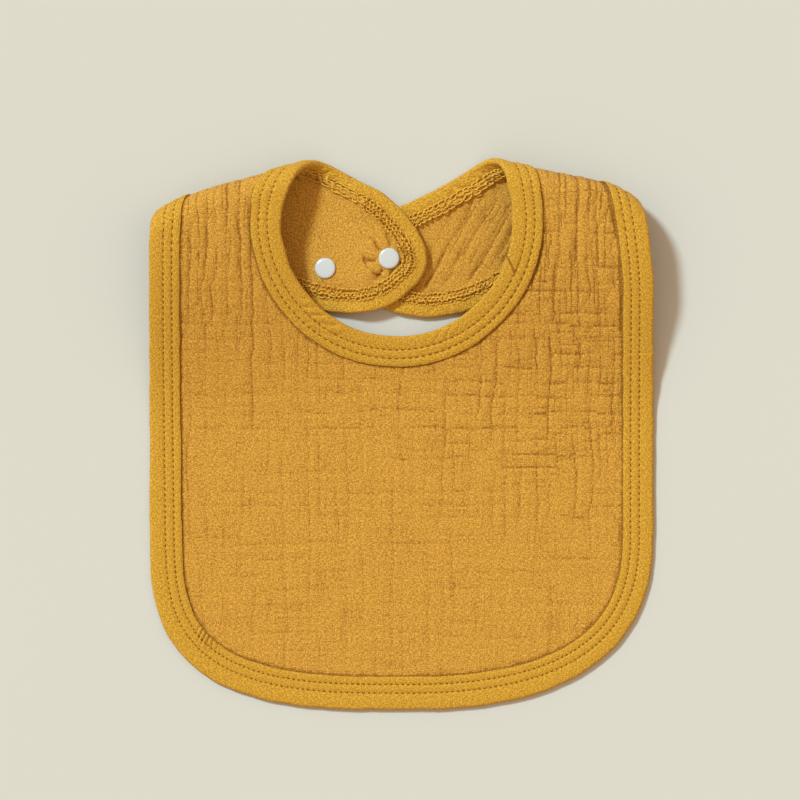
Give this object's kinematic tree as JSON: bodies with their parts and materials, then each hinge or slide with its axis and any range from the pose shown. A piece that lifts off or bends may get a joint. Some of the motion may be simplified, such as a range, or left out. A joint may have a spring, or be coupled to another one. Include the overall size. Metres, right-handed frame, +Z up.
{
  "type": "baby bib",
  "caption": "Bound double-gauze cotton baby bib with a round neck, folded shoulders and overlapping neck straps closed by plastic snaps.",
  "frame": {"origin": "on the table under the middle of the bib as it lies, folded and snapped shut", "axes": "+Z up from the table, +Y from the bottom edge towards the neck, +X to the right seen from above"},
  "size_m": [0.258, 0.2828, 0.0242],
  "materials": {
    "muslin": "crinkled double gauze cotton, matt",
    "binding": "smooth woven cotton bias tape with matching thread, matt",
    "snap_plastic": "smooth white acetal, glossy"
  },
  "bodies": {
    "front": {"front_face_fabric": "muslin", "front_lining_fabric": "muslin", "neckline_binding": "binding", "outer_edge_binding": "binding"},
    "left_strap": {"left_strap_face_fabric": "muslin", "left_strap_lining_fabric": "muslin", "left_strap_neck_binding": "binding", "left_strap_outer_binding": "binding", "spare_snap_cap": "snap_plastic", "spare_snap_socket": "snap_plastic"},
    "left_tab": {"left_tab_face_fabric": "muslin", "left_tab_lining_fabric": "muslin", "left_tab_binding": "binding", "closing_snap_cap": "snap_plastic", "closing_snap_socket": "snap_plastic"},
    "right_strap": {"right_strap_face_fabric": "muslin", "right_strap_lining_fabric": "muslin", "right_strap_binding": "binding", "stud_snap_cap": "snap_plastic", "snap_stud": "snap_plastic"}
  },
  "joints": [
    {"name": "right_shoulder_fold", "type": "hinge", "parent": "front", "child": "right_strap", "pos_m": [0.05521, 0.13941, 0.0121], "axis": [0.9659, -0.2588, 0], "range_deg": [0, 180]},
    {"name": "left_shoulder_fold", "type": "hinge", "parent": "front", "child": "left_strap", "pos_m": [-0.05222, 0.1394, 0.0121], "axis": [0.9613, 0.2756, 0], "range_deg": [0, 144]},
    {"name": "left_tab_peel", "type": "hinge", "parent": "left_strap", "child": "left_tab", "pos_m": [-0.02875, 0.09548, 0.00825], "axis": [-0.2213, -0.9752, 0], "range_deg": [0, 60]}
  ],
  "couplings": [
    {"joint": "left_shoulder_fold", "follows": "right_shoulder_fold", "ratio": 0.8}
  ]
}
